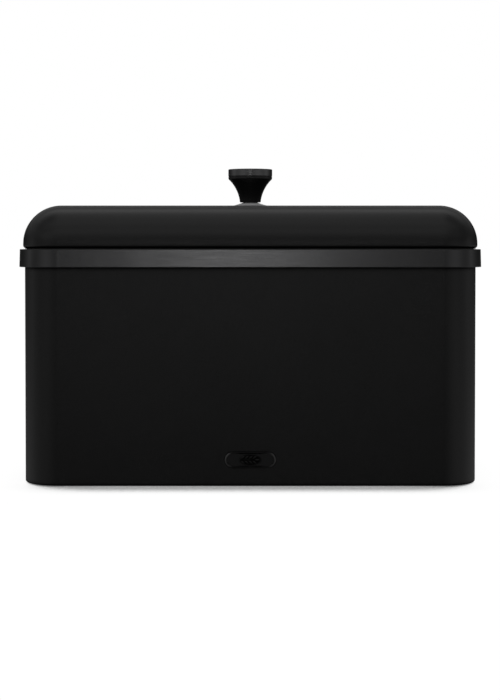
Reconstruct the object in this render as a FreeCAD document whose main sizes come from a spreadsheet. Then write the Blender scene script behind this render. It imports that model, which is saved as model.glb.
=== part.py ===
"""Bread bin: a rounded steel bin with a trim band round its mouth and a domed, lift-off lid with a knob.

Frame: millimetres, +Z up, X across the width, Y from front (-) to back (+).
The origin is at the centre of the base, on the surface that the feet stand on.
"""

import FreeCAD, Part
import math
import os

import Sketcher
from FreeCAD import Placement, Rotation, Vector

# Driving dimensions, in millimetres unless a name says otherwise. Each one becomes a spreadsheet cell.
DIMENSIONS = {
    # Bin wall: one sheet, hemmed at the foot and rolled outwards at the mouth.
    "body_width": 351.4,
    "body_depth": 209.4,
    "corner_radius": 29.0,
    "sheet": 0.6,
    "ground_gap": 0.5,
    "hem_radius": 1.5,
    "hem_leg": 2.0,
    "bead_radius": 1.7,
    "seam_width": 8.0,
    "seam_foot": 14.0,
    "seam_head": 168.0,
    # Air holes in the back wall, in two groups.
    "vent_radius": 2.0,
    "vent_pitch": 10.0,
    "vent_columns": 5,
    "vent_near": 50.0,
    "vent_height": 128.0,
    # Base pan, standing on the wall's hem.
    "pan_flange": 7.0,
    "pan_bend": 1.6,
    "pan_inset": 34.0,
    "pan_corner": 22.0,
    "pan_rise": 2.0,
    "pan_slope_offset": 0.24,
    "fit_gap": 0.05,
    # Trim band round the mouth.
    "band_bottom": 167.85,
    "band_height": 13.8,
    "band_proud": 4.3,
    "band_lean": 0.4,
    "band_sheet": 0.7,
    "band_edge": 0.45,
    "band_joint": 0.4,
    "splice_length": 36.0,
    "splice_height": 7.0,
    "splice_sheet": 0.8,
    "rivet_spacing": 18.0,
    "rivet_height": 172.4,
    "rivet_radius": 1.6,
    "rivet_head_radius": 3.1,
    "rivet_head": 0.9,
    "rivet_tail_radius": 2.4,
    # Lid.
    "lid_bottom": 182.4,
    "lid_seat_gap": 0.3,
    "lid_height": 33.3,
    "lid_proud": 1.35,
    "lid_edge_radius": 29.8,
    "lid_curl_radius": 2.35,
    "lid_curl_leg": 1.0,
    "collar_wall": 1.2,
    "collar_clearance": 0.8,
    "collar_drop": 11.0,
    "collar_hook": 0.95,
    "collar_setback": 1.35,
    # Knob and what holds it.
    "gasket_thickness": 0.4,
    "gasket_radius": 16.0,
    "rose_radius": 16.6,
    "rose_edge": 0.6,
    "rose_top": 220.15,
    "rose_top_radius": 5.5,
    "rose_flare_level": 300.0,
    "knob_foot_radius": 8.6,
    "knob_radius": 18.2,
    "knob_lip_radius": 18.1,
    "knob_flare_axis": 39.4,
    "knob_lip_bottom": 239.3,
    "knob_lip_top": 241.5,
    "knob_groove": 0.15,
    "knob_top": 247.4,
    "knob_edge": 0.45,
    "knob_dish": 0.5,
    "knob_dish_slope": 1.0,
    "spigot_radius": 6.0,
    "spigot_height": 2.4,
    "insert_radius": 3.6,
    "insert_length": 11.0,
    "insert_waist": 3.1,
    "insert_waist_slope": 0.5,
    "insert_headroom": 1.0,
    "screw_radius": 2.0,
    "screw_reach": 16.0,
    "screw_clearance": 0.25,
    "screw_head_radius": 4.0,
    "screw_head": 2.4,
    "screw_slot": 1.0,
    "screw_slot_reach": 2.6,
    "screw_slot_depth": 1.2,
    "screw_chamfer": 0.5,
    "washer_radius": 6.0,
    "washer_thickness": 1.0,
    # Badge.
    "badge_width": 39.0,
    "badge_height": 11.3,
    "badge_middle": 20.9,
    "badge_plate": 1.0,
    "badge_rim": 1.1,
    "badge_rim_rise": 0.5,
    "badge_relief": 0.4,
    "ear_length": 15.0,
    "grain_length": 4.4,
    "grain_width": 1.5,
    "grain_pitch": 3.0,
    "grain_spread": 1.25,
    "grain_angle": 35.0,
    "tip_grain_step": 1.6,
    "badge_pin_spacing": 26.0,
    "badge_pin_radius": 1.0,
    "badge_pin_reach": 2.6,
    "badge_pin_clearance": 0.15,
    "clip_radius": 3.5,
    "clip_sheet": 0.5,
    "clip_slot": 0.6,
    "clip_slot_reach": 2.1,
    # Feet.
    "foot_radius": 7.0,
    "foot_tread_radius": 6.0,
    "foot_bevel": 1.2,
    "foot_stem_radius": 2.2,
    "foot_barb": 0.8,
    "foot_inset": 19.0,
}

WHEAT_PAIRS = 4
# How far a cut starts or ends beyond the material, in millimetres.
OVERSHOOT = 1.0
SMALLEST_VOLUME_CHANGE = 0.01


class Dim:
    """A length that knows both its value and its spreadsheet expression."""

    def __init__(self, value, text):
        self.value = float(value)
        self.text = text

    @staticmethod
    def of(other):
        return other if isinstance(other, Dim) else Dim(other, repr(float(other)))

    def _join(self, other, sign, value):
        return Dim(value, f"({self.text} {sign} {other.text})")

    def __add__(self, other):
        other = Dim.of(other)
        return self._join(other, "+", self.value + other.value)

    def __radd__(self, other):
        return Dim.of(other) + self

    def __sub__(self, other):
        other = Dim.of(other)
        return self._join(other, "-", self.value - other.value)

    def __rsub__(self, other):
        return Dim.of(other) - self

    def __mul__(self, other):
        other = Dim.of(other)
        return self._join(other, "*", self.value * other.value)

    def __rmul__(self, other):
        return Dim.of(other) * self

    def __truediv__(self, other):
        other = Dim.of(other)
        return self._join(other, "/", self.value / other.value)

    def __neg__(self):
        return Dim.of(0) - self


class Dimensions:
    """The spreadsheet, with each driving dimension as an attribute."""

    def __init__(self, doc):
        table = doc.addObject("Spreadsheet::Sheet", "Sizes")
        for row, (alias, value) in enumerate(DIMENSIONS.items(), start=1):
            table.set(f"A{row}", alias)
            table.set(f"B{row}", repr(value))
            table.setAlias(f"B{row}", alias)
            setattr(self, alias, Dim(value, f"Sizes.{alias}"))
        doc.recompute()


# ---------------------------------------------------------------- sketching

X_AXIS, Y_AXIS = -1, -2
START, END, CENTRE = 1, 2, 3


def origin_plane(body, role):
    """One of a body's own origin planes, such as XZ_Plane."""
    return next(f for f in body.Origin.OriginFeatures if f.Role == role)


def new_body(doc, label):
    body = doc.addObject("PartDesign::Body", label)
    body.Label = label
    return body


def new_sketch(body, name, plane="XY_Plane", offset=None):
    """A sketch on a body's own origin plane, moved along the plane's normal by offset."""
    sketch = body.newObject("Sketcher::SketchObject", name)
    sketch.AttachmentSupport = [(origin_plane(body, plane), "")]
    sketch.MapMode = "FlatFace"
    if offset is not None:
        offset = Dim.of(offset)
        sketch.AttachmentOffset = Placement(Vector(0, 0, offset.value), Rotation())
        sketch.setExpression("AttachmentOffset.Base.z", offset.text)
    return sketch


def bind(sketch, kind, geometry, point, size):
    """Adds one dimension to a sketch and binds it to its spreadsheet expression."""
    size = Dim.of(size)
    if kind in ("DistanceX", "DistanceY") and abs(size.value) < 1e-9:
        axis = Y_AXIS if kind == "DistanceX" else X_AXIS
        sketch.addConstraint(Sketcher.Constraint("PointOnObject", geometry, point, axis))
        return
    if point is None:
        index = sketch.addConstraint(Sketcher.Constraint(kind, geometry, size.value))
    else:
        index = sketch.addConstraint(Sketcher.Constraint(kind, geometry, point, size.value))
    sketch.setExpression(f"Constraints[{index}]", size.text)


def arc_between(start, end, centre, clockwise):
    """A circular arc, which a sketch always stores anticlockwise."""
    first, last = (end, start) if clockwise else (start, end)
    circle = Part.Circle(centre, Vector(0, 0, 1), (start - centre).Length)
    begin = math.atan2(first.y - centre.y, first.x - centre.x)
    finish = math.atan2(last.y - centre.y, last.x - centre.x)
    if finish <= begin:
        finish += 2 * math.pi
    return Part.ArcOfCircle(circle, begin, finish)


def outline(sketch, corners, arcs=None):
    """Draws a closed outline through corners. arcs gives an edge's centre and whether it runs clockwise."""
    arcs = arcs or {}
    spots = [Vector(Dim.of(x).value, Dim.of(y).value, 0) for x, y in corners]
    edges = []
    for i, start in enumerate(spots):
        end = spots[(i + 1) % len(spots)]
        if i in arcs:
            (cx, cy), clockwise = arcs[i]
            centre = Vector(Dim.of(cx).value, Dim.of(cy).value, 0)
            index = sketch.addGeometry(arc_between(start, end, centre, clockwise))
            edges.append((index, END, START) if clockwise else (index, START, END))
        else:
            index = sketch.addGeometry(Part.LineSegment(start, end))
            edges.append((index, START, END))
    for i, (index, first, last) in enumerate(edges):
        following, its_first, _ = edges[(i + 1) % len(edges)]
        sketch.addConstraint(Sketcher.Constraint("Coincident", index, last, following, its_first))
    for (index, first, _), (x, y) in zip(edges, corners):
        bind(sketch, "DistanceX", index, first, x)
        bind(sketch, "DistanceY", index, first, y)
    for i, ((cx, cy), _) in arcs.items():
        chord = spots[(i + 1) % len(spots)] - spots[i]
        if abs(chord.y) >= abs(chord.x):
            bind(sketch, "DistanceX", edges[i][0], CENTRE, cx)
        else:
            bind(sketch, "DistanceY", edges[i][0], CENTRE, cy)


def circle(sketch, x, y, radius):
    centre = Vector(Dim.of(x).value, Dim.of(y).value, 0)
    index = sketch.addGeometry(Part.Circle(centre, Vector(0, 0, 1), Dim.of(radius).value))
    bind(sketch, "Radius", index, None, radius)
    bind(sketch, "DistanceX", index, CENTRE, x)
    bind(sketch, "DistanceY", index, CENTRE, y)


def rectangle(sketch, left, right, low, high):
    outline(sketch, [(left, low), (right, low), (right, high), (left, high)])


def rounded_rectangle(sketch, half_x, half_y, radius, middle_y=0.0):
    """A centred rounded rectangle that starts at the middle of its right side."""
    top, bottom = middle_y + half_y, middle_y - half_y
    in_x, in_top, in_bottom = half_x - radius, top - radius, bottom + radius
    corners = [
        (half_x, middle_y),
        (half_x, in_top),
        (in_x, top),
        (-in_x, top),
        (-half_x, in_top),
        (-half_x, in_bottom),
        (-in_x, bottom),
        (in_x, bottom),
        (half_x, in_bottom),
    ]
    arcs = {
        1: ((in_x, in_top), False),
        3: ((-in_x, in_top), False),
        5: ((-in_x, in_bottom), False),
        7: ((in_x, in_bottom), False),
    }
    outline(sketch, corners, arcs)


def stadium(sketch, half_length, radius, middle_y):
    """A long shape with round ends, centred on x = 0."""
    end = half_length - radius
    top, bottom = middle_y + radius, middle_y - radius
    corners = [(end, bottom), (end, top), (-end, top), (-end, bottom)]
    outline(sketch, corners, {0: ((end, middle_y), False), 2: ((-end, middle_y), False)})


# ---------------------------------------------------------------- features


def add_feature(doc, body, kind, name, sketch, changes_volume=True, **settings):
    """Adds a sketch-based feature and checks that it changed the body's volume."""
    before = body.Shape.Volume if body.Tip else 0.0
    feature = body.newObject(f"PartDesign::{kind}", name)
    feature.Profile = sketch
    for key, value in settings.items():
        if isinstance(value, Dim):
            setattr(feature, key, value.value)
            feature.setExpression(key, value.text)
        else:
            setattr(feature, key, value)
    body.Tip = feature
    doc.recompute()
    if changes_volume and abs(body.Shape.Volume - before) < SMALLEST_VOLUME_CHANGE:
        raise ValueError(f"{name} did not change {body.Label}")
    return feature


def spine_sketch(body, d):
    """The line that rim sections are carried along: the bin's outer outline."""
    spine = new_sketch(body, body.Label + "_spine")
    rounded_rectangle(spine, d.body_width / 2, d.body_depth / 2, d.corner_radius)
    return spine


def ring(doc, body, d, name, corners, arcs=None):
    """Carries a section, drawn at the right-hand side, all the way round the bin's outline."""
    spine = spine_sketch(body, d)
    section = new_sketch(body, name + "_section", "XZ_Plane")
    outline(section, corners, arcs)
    doc.recompute()
    return add_feature(doc, body, "AdditivePipe", name, section, Spine=(spine, []))


def turned(doc, body, name, corners, arcs=None):
    """A solid of revolution about the body's own Z axis."""
    section = new_sketch(body, name + "_section", "XZ_Plane")
    outline(section, corners, arcs)
    doc.recompute()
    return add_feature(
        doc, body, "Revolution", name, section, ReferenceAxis=(section, ["V_Axis"]), Angle=360.0
    )


def drilled(doc, body, name, sketch_plane, offset, holes, **settings):
    """Round holes, each (x, y, radius) on a sketch plane."""
    sketch = new_sketch(body, name + "_circles", sketch_plane, offset)
    for x, y, radius in holes:
        circle(sketch, x, y, radius)
    doc.recompute()
    return add_feature(doc, body, "Pocket", name, sketch, **settings)


# ---------------------------------------------------------------- bin


def make_body_wall(doc, d):
    """The bin's wall: one rolled sheet with a hem at the foot and an outward bead at the mouth."""
    body = new_body(doc, "body_wall")
    face = d.body_width / 2
    inner = face - d.sheet
    hem_x = face - d.hem_radius
    hem_z = d.ground_gap + d.hem_radius
    leg_x = face - 2 * d.hem_radius
    leg_top = hem_z + d.hem_leg
    bead_x = inner + d.bead_radius
    bead_z = band_top(d) - d.band_sheet - d.fit_gap - d.bead_radius
    corners = [
        (leg_x, leg_top),
        (leg_x, hem_z),
        (face, hem_z),
        (face, bead_z),
        (bead_x, bead_z - d.bead_radius + d.sheet),
        (bead_x, bead_z - d.bead_radius),
        (inner, bead_z),
        (inner, hem_z),
        (leg_x + d.sheet, hem_z),
        (leg_x + d.sheet, leg_top),
    ]
    arcs = {
        1: ((hem_x, hem_z), False),
        3: ((bead_x, bead_z), True),
        5: ((bead_x, bead_z), False),
        7: ((hem_x, hem_z), True),
    }
    ring(doc, body, d, "wall_sheet", corners, arcs)
    back_inner = d.body_depth / 2 - d.sheet
    lap = new_sketch(body, "lap_seam_outline", "XY_Plane", d.seam_foot)
    rectangle(lap, -d.seam_width / 2, d.seam_width / 2, back_inner - d.sheet, back_inner + d.sheet / 2)
    doc.recompute()
    add_feature(doc, body, "Pad", "lap_seam", lap, Length=d.seam_head - d.seam_foot)
    pin_hole = d.badge_pin_radius + d.badge_pin_clearance
    pins = [(sign * d.badge_pin_spacing / 2, d.badge_middle, pin_hole) for sign in (-1, 1)]
    drilled(
        doc, body, "badge_pin_holes", "XZ_Plane", d.body_depth / 2 + OVERSHOOT, pins,
        Length=2 * d.sheet + OVERSHOOT,
    )
    reach = (d.vent_columns - 1) * d.vent_pitch
    rows = [d.vent_height + step * d.vent_pitch for step in (-1, 0, 1)]
    first_columns = (d.vent_near, -d.vent_near - reach)
    vents = [(x, z, d.vent_radius) for x in first_columns for z in rows]
    column = drilled(
        doc, body, "vent_column", "XZ_Plane", -(d.body_depth / 2 + OVERSHOOT), vents,
        Length=2 * d.sheet + OVERSHOOT, Reversed=True,
    )
    repeat_along_x(doc, body, "vents", column, reach, d.vent_columns)
    return body


def repeat_along_x(doc, body, name, feature, reach, count):
    """A linear pattern of one feature along X."""
    before = body.Shape.Volume
    pattern = body.newObject("PartDesign::LinearPattern", name)
    pattern.Originals = [feature]
    pattern.Direction = (feature.Profile[0], ["H_Axis"])
    pattern.Length = reach.value
    pattern.setExpression("Length", reach.text)
    pattern.Occurrences = int(count.value)
    pattern.setExpression("Occurrences", count.text)
    body.Tip = pattern
    doc.recompute()
    if abs(body.Shape.Volume - before) < SMALLEST_VOLUME_CHANGE:
        raise ValueError(f"{name} did not change {body.Label}")


def make_base_pan(doc, d):
    """The bottom: a pressed pan with an upturned flange, dropped in on top of the wall's hem."""
    body = new_body(doc, "base_pan")
    low = pan_underside(d)
    face = d.body_width / 2 - d.sheet - d.fit_gap
    flange = face - d.sheet
    bend_x = face - d.pan_bend
    bend_z = low + d.pan_bend
    inner_bend = d.pan_bend - d.sheet
    edge = bend_x - d.fit_gap
    corners = [
        (edge, low),
        (bend_x, low),
        (face, bend_z),
        (face, low + d.pan_flange),
        (flange, low + d.pan_flange),
        (flange, bend_z),
        (flange - inner_bend, low + d.sheet),
        (edge, low + d.sheet),
    ]
    arcs = {1: ((bend_x, bend_z), False), 5: ((bend_x, bend_z), True)}
    ring(doc, body, d, "pan_flange_ring", corners, arcs)
    inset = d.sheet + d.fit_gap + d.pan_bend
    floor = new_sketch(body, "pan_floor_outline", "XY_Plane", low)
    rounded_rectangle(
        floor, d.body_width / 2 - inset, d.body_depth / 2 - inset, d.corner_radius - inset
    )
    doc.recompute()
    add_feature(doc, body, "Pad", "pan_floor", floor, Length=d.sheet)
    half_x = d.body_width / 2 - d.pan_inset
    half_y = d.body_depth / 2 - d.pan_inset
    raised = new_sketch(body, "pan_raised_outline", "XY_Plane", low)
    rounded_rectangle(raised, half_x, half_y, d.pan_corner)
    doc.recompute()
    add_feature(
        doc, body, "Pad", "pan_raised", raised, Length=d.sheet + d.pan_rise, TaperAngle=-45.0
    )
    under = new_sketch(body, "pan_under_outline", "XY_Plane", low)
    shift = d.pan_slope_offset
    rounded_rectangle(under, half_x - shift, half_y - shift, d.pan_corner - shift)
    doc.recompute()
    add_feature(
        doc, body, "Pocket", "pan_under", under, Length=d.pan_rise, TaperAngle=-45.0, Reversed=True
    )
    holes = foot_circles(d, d.foot_stem_radius + d.fit_gap)
    drilled(
        doc, body, "pan_foot_holes", "XY_Plane", low + d.sheet + OVERSHOOT, holes,
        Length=d.sheet + 2 * OVERSHOOT,
    )
    return body


def make_trim_band(doc, d):
    """The band: a roll-formed channel hooked over the wall's bead, closed at the back by a splice."""
    body = new_body(doc, "trim_band")
    face = d.body_width / 2
    low, high = d.band_bottom, band_top(d)
    foot = face + d.band_proud
    head = foot - d.band_lean
    mouth = face - d.sheet
    corners = [
        (face + 2 * d.fit_gap, low),
        (foot - d.band_edge, low),
        (foot, low + d.band_edge),
        (head, high - d.band_edge),
        (head - d.band_edge, high),
        (mouth, high),
        (mouth, high - d.band_sheet),
        (head - d.band_sheet, high - d.band_sheet),
        (foot - d.band_sheet, low + d.band_sheet),
        (face + 2 * d.fit_gap, low + d.band_sheet),
    ]
    arcs = {
        1: ((foot - d.band_edge, low + d.band_edge), False),
        3: ((head - d.band_edge, high - d.band_edge), False),
    }
    ring(doc, body, d, "band_channel", corners, arcs)
    gap = new_sketch(body, "band_joint_outline", "XY_Plane", low - OVERSHOOT)
    rectangle(
        gap, -d.band_joint / 2, d.band_joint / 2, d.body_depth / 2 - 2 * d.sheet,
        d.body_depth / 2 + 2 * d.band_proud,
    )
    doc.recompute()
    add_feature(
        doc, body, "Pocket", "band_joint_gap", gap, Length=d.band_height + 2 * OVERSHOOT, Reversed=True
    )
    drilled(
        doc, body, "band_rivet_holes", "XZ_Plane", -(d.body_depth / 2 + d.band_proud + OVERSHOOT),
        rivet_circles(d, d.rivet_radius + d.fit_gap), Length=d.band_sheet + 2 * OVERSHOOT, Reversed=True,
    )
    return body


def rivet_circles(d, radius):
    return [(sign * d.rivet_spacing / 2, d.rivet_height, radius) for sign in (-1, 1)]


def splice_back(d):
    """How far back the outer face of the splice stands, just inside the leaning band."""
    return d.body_depth / 2 + d.band_proud - d.band_lean - d.band_sheet - d.fit_gap


def make_band_splice(doc, d):
    """The plate behind the band's butt joint."""
    body = new_body(doc, "band_splice")
    low = d.band_bottom + d.band_sheet + d.fit_gap
    plate = new_sketch(body, "splice_outline", "XZ_Plane", -splice_back(d))
    rectangle(plate, -d.splice_length / 2, d.splice_length / 2, low, low + d.splice_height)
    doc.recompute()
    add_feature(doc, body, "Pad", "splice_plate", plate, Length=d.splice_sheet)
    drilled(
        doc, body, "splice_rivet_holes", "XZ_Plane", -(splice_back(d) + OVERSHOOT),
        rivet_circles(d, d.rivet_radius + d.fit_gap), Length=d.splice_sheet + 2 * OVERSHOOT,
        Reversed=True,
    )
    return body


def make_band_rivets(doc, d):
    """The two rivets that close the band, each with a head outside and a set tail inside."""
    body = new_body(doc, "band_rivets")
    body.AllowCompound = True
    tail_back = splice_back(d) - d.splice_sheet - d.fit_gap
    outside = d.body_depth / 2 + d.band_proud + d.fit_gap
    layers = [
        ("rivet_shanks", d.rivet_radius, outside + d.rivet_head / 2, outside - tail_back + d.rivet_head / 2),
        ("rivet_heads", d.rivet_head_radius, outside + d.rivet_head, d.rivet_head),
        ("rivet_tails", d.rivet_tail_radius, tail_back, d.rivet_head),
    ]
    for name, radius, start, length in layers:
        sketch = new_sketch(body, name + "_circles", "XZ_Plane", -start)
        for x, z, size in rivet_circles(d, radius):
            circle(sketch, x, z, size)
        doc.recompute()
        add_feature(doc, body, "Pad", name, sketch, Length=length)
    return body


def make_feet(doc, d):
    """Four push-in rubber feet, under the corners of the base pan."""
    places = {
        "foot_front_left": (-1, -1),
        "foot_front_right": (1, -1),
        "foot_back_left": (-1, 1),
        "foot_back_right": (1, 1),
    }
    top = pan_underside(d) - d.fit_gap
    stem = d.foot_stem_radius
    above = pan_underside(d) + d.sheet + d.fit_gap
    half_x = d.body_width / 2 - d.foot_inset
    half_y = d.body_depth / 2 - d.foot_inset
    corners = [
        (0, 0),
        (d.foot_tread_radius, 0),
        (d.foot_radius, d.foot_bevel),
        (d.foot_radius, top),
        (stem, top),
        (stem, above),
        (stem + d.foot_barb, above),
        (stem, above + 2 * d.foot_barb),
        (0, above + 2 * d.foot_barb),
    ]
    feet = []
    for label, (side, end) in places.items():
        body = new_body(doc, label)
        turned(doc, body, label + "_turning", corners)
        body.Placement = Placement(Vector(side * half_x.value, end * half_y.value, 0), Rotation())
        body.setExpression("Placement.Base.x", (side * half_x).text)
        body.setExpression("Placement.Base.y", (end * half_y).text)
        feet.append(body)
    return feet


def foot_circles(d, radius):
    half_x = d.body_width / 2 - d.foot_inset
    half_y = d.body_depth / 2 - d.foot_inset
    return [(side * half_x, end * half_y, radius) for side in (-1, 1) for end in (-1, 1)]


# ---------------------------------------------------------------- badge


def badge_back(d):
    """How far forward the back of the badge stands."""
    return d.body_depth / 2 + d.fit_gap


def make_badge_plate(doc, d):
    """A pill-shaped plate with a raised rim, an ear of wheat in relief and two pins behind."""
    body = new_body(doc, "badge_plate")
    back = badge_back(d)
    front = back + d.badge_plate
    half = d.badge_width / 2
    end = d.badge_height / 2
    plate = new_sketch(body, "badge_outline", "XZ_Plane", back)
    stadium(plate, half, end, d.badge_middle)
    doc.recompute()
    add_feature(doc, body, "Pad", "badge_blank", plate, Length=d.badge_plate)
    rim = new_sketch(body, "badge_rim_outline", "XZ_Plane", front)
    stadium(rim, half, end, d.badge_middle)
    stadium(rim, half - d.badge_rim, end - d.badge_rim, d.badge_middle)
    doc.recompute()
    add_feature(doc, body, "Pad", "badge_rim_pad", rim, Length=d.badge_rim_rise)
    relief = new_sketch(body, "wheat_outline", "XZ_Plane", front)
    draw_wheat(relief, d)
    doc.recompute()
    add_feature(doc, body, "Pad", "wheat_relief", relief, Length=d.badge_relief)
    pins = new_sketch(body, "badge_pin_circles", "XZ_Plane", back)
    for sign in (-1, 1):
        circle(pins, sign * d.badge_pin_spacing / 2, d.badge_middle, d.badge_pin_radius)
    doc.recompute()
    add_feature(doc, body, "Pad", "badge_pins", pins, Length=d.badge_pin_reach, Reversed=True)
    return body


def draw_wheat(sketch, d):
    """Leaf-shaped grains in pairs that lean away from a row along X, and one grain at the tip."""
    lean = math.radians(d.grain_angle.value)
    for pair in range(WHEAT_PAIRS):
        root = d.grain_pitch * pair - d.ear_length / 2
        for side in (-1, 1):
            draw_grain(sketch, d, root, d.badge_middle + side * d.grain_spread / 2, side * lean)
    draw_grain(sketch, d, root + d.tip_grain_step, d.badge_middle, 0.0)


def draw_grain(sketch, d, x, z, turn):
    """One leaf shape from its root at (x, z), between two equal arcs."""
    length, width = d.grain_length.value, d.grain_width.value
    along, across = math.cos(turn), math.sin(turn)
    tip = (x + d.grain_length * along, z + d.grain_length * across)
    radius = (length * length + width * width) / (4 * width)
    off = radius - width / 2
    mid_x = x.value + length / 2 * along
    mid_z = z.value + length / 2 * across
    below = (mid_x + off * across, mid_z - off * along)
    above = (mid_x - off * across, mid_z + off * along)
    outline(sketch, [(x, z), tip], {0: (above, False), 1: (below, False)})


def make_badge_clips(doc, d):
    """The two push-on washers that grip the badge's pins inside the wall."""
    body = new_body(doc, "badge_clips")
    body.AllowCompound = True
    front = d.body_depth / 2 - d.sheet - d.fit_gap
    discs = new_sketch(body, "clip_circles", "XZ_Plane", front)
    for sign in (-1, 1):
        x = sign * d.badge_pin_spacing / 2
        circle(discs, x, d.badge_middle, d.clip_radius)
        circle(discs, x, d.badge_middle, d.badge_pin_radius + d.fit_gap)
    doc.recompute()
    add_feature(doc, body, "Pad", "clip_discs", discs, Length=d.clip_sheet, Reversed=True)
    slots = new_sketch(body, "clip_slot_outlines", "XZ_Plane", front + OVERSHOOT)
    reach = d.clip_slot_reach
    half = d.clip_slot / 2
    for sign in (-1, 1):
        x = sign * d.badge_pin_spacing / 2
        z = d.badge_middle
        cross = [
            (x - reach, z - half), (x - half, z - half), (x - half, z - reach), (x + half, z - reach),
            (x + half, z - half), (x + reach, z - half), (x + reach, z + half), (x + half, z + half),
            (x + half, z + reach), (x - half, z + reach), (x - half, z + half), (x - reach, z + half),
        ]
        outline(slots, cross)
    doc.recompute()
    add_feature(doc, body, "Pocket", "clip_slots", slots, Length=d.clip_sheet + 2 * OVERSHOOT)
    return body


# ---------------------------------------------------------------- lid


def lid_face(d):
    """Half the lid's width at its outer surface."""
    return d.body_width / 2 + d.lid_proud


def lid_top(d):
    return d.lid_bottom + d.lid_height


def curl_leg(d):
    """The inner end of the lid's curl: the distance from the middle and the height of its tip."""
    return lid_face(d) - 2 * d.lid_curl_radius, d.lid_bottom + d.lid_curl_radius + d.lid_curl_leg


def make_lid_shell(doc, d):
    """The lid: one pressed sheet with a large rounded edge and an inward curl round its hem."""
    body = new_body(doc, "lid_shell")
    face, high = lid_face(d), lid_top(d)
    curl = d.lid_curl_radius
    leg_x, leg_top = curl_leg(d)
    curl_x, curl_z = face - curl, d.lid_bottom + curl
    edge = d.lid_edge_radius
    bend_x, bend_z = face - edge, high - edge
    inward = bend_x - d.fit_gap
    corners = [
        (leg_x, leg_top),
        (leg_x, curl_z),
        (face, curl_z),
        (face, bend_z),
        (bend_x, high),
        (inward, high),
        (inward, high - d.sheet),
        (bend_x, high - d.sheet),
        (face - d.sheet, bend_z),
        (face - d.sheet, curl_z),
        (leg_x + d.sheet, curl_z),
        (leg_x + d.sheet, leg_top),
    ]
    arcs = {
        1: ((curl_x, curl_z), False),
        3: ((bend_x, bend_z), False),
        7: ((bend_x, bend_z), True),
        9: ((curl_x, curl_z), True),
    }
    ring(doc, body, d, "lid_skirt", corners, arcs)
    top = new_sketch(body, "lid_top_outline", "XY_Plane", high - d.sheet)
    rounded_rectangle(
        top, bend_x, d.body_depth / 2 + d.lid_proud - edge, d.corner_radius + d.lid_proud - edge
    )
    doc.recompute()
    add_feature(doc, body, "Pad", "lid_top_panel", top, Length=d.sheet)
    drilled(
        doc, body, "lid_screw_hole", "XY_Plane", high + OVERSHOOT, [(0, 0, screw_hole(d))],
        Length=d.sheet + 2 * OVERSHOOT,
    )
    return body


def make_lid_collar(doc, d):
    """The locating ring: clipped over the lid's curl, with a skirt that drops inside the bin's mouth."""
    body = new_body(doc, "lid_collar")
    leg_x, leg_top = curl_leg(d)
    skirt = d.body_width / 2 - d.sheet - d.collar_clearance
    under_curl = d.lid_bottom - d.fit_gap
    seat = band_top(d) + d.lid_seat_gap
    web = under_curl - d.collar_wall
    outer = lid_face(d) - d.collar_setback
    upright = leg_x - d.fit_gap
    catch = leg_top + d.fit_gap
    corners = [
        (skirt - d.collar_wall, web - d.collar_drop),
        (skirt, web - d.collar_drop),
        (skirt, seat),
        (outer, seat),
        (outer, under_curl),
        (upright, under_curl),
        (upright, catch),
        (leg_x + d.collar_hook, catch),
        (upright, catch + d.collar_wall),
        (upright - d.collar_wall, catch + d.collar_wall),
        (upright - d.collar_wall, web),
        (skirt - d.collar_wall, web),
    ]
    ring(doc, body, d, "collar_ring", corners)
    return body


def knob_base(d):
    """The height of the top of the gasket, where the metal rose sits."""
    return lid_top(d) + d.fit_gap + d.gasket_thickness


def screw_hole(d):
    return d.screw_radius + d.screw_clearance


def make_rose_gasket(doc, d):
    body = new_body(doc, "rose_gasket")
    low = lid_top(d) + d.fit_gap
    corners = [
        (screw_hole(d), low),
        (d.gasket_radius, low),
        (d.gasket_radius, low + d.gasket_thickness),
        (screw_hole(d), low + d.gasket_thickness),
    ]
    turned(doc, body, "gasket_turning", corners)
    return body


def free_centre(start, end, fixed, fixed_is_x):
    """An arc's centre through start and end, given only one of its coordinates."""
    (x1, y1), (x2, y2) = [(Dim.of(x).value, Dim.of(y).value) for x, y in (start, end)]
    square = (x2 * x2 + y2 * y2 - x1 * x1 - y1 * y1) / 2
    if fixed_is_x:
        return fixed, (square - fixed.value * (x2 - x1)) / (y2 - y1)
    return (square - fixed.value * (y2 - y1)) / (x2 - x1), fixed


def make_rose(doc, d):
    """The metal rose under the knob: a low disc that sweeps up to the knob's foot."""
    body = new_body(doc, "rose")
    low = knob_base(d) + d.fit_gap
    hole = screw_hole(d)
    start = (d.rose_radius, low + d.rose_edge)
    end = (d.rose_top_radius, d.rose_top)
    corners = [(hole, low), (d.rose_radius, low), start, end, (hole, d.rose_top)]
    centre = free_centre(start, end, d.rose_flare_level, False)
    turned(doc, body, "rose_turning", corners, {2: (centre, True)})
    return body


def make_knob_stem(doc, d):
    """The knob's waisted foot, flaring up to the lip, bored for the insert and the cap's spigot."""
    body = new_body(doc, "knob_stem")
    foot = d.rose_top + d.fit_gap
    bore = d.insert_radius + d.fit_gap
    socket = d.spigot_radius + d.fit_gap
    floor = d.knob_lip_top - d.spigot_height - d.fit_gap
    insert_top = foot + d.insert_length + d.insert_headroom
    start = (d.knob_foot_radius, foot)
    end = (d.knob_lip_radius, d.knob_lip_bottom)
    corners = [
        (bore, foot),
        start,
        end,
        (d.knob_lip_radius, d.knob_lip_top),
        (socket, d.knob_lip_top),
        (socket, floor),
        (0, floor),
        (0, insert_top),
        (bore, insert_top),
    ]
    centre = free_centre(start, end, d.knob_flare_axis, True)
    turned(doc, body, "stem_turning", corners, {1: (centre, True)})
    return body


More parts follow.
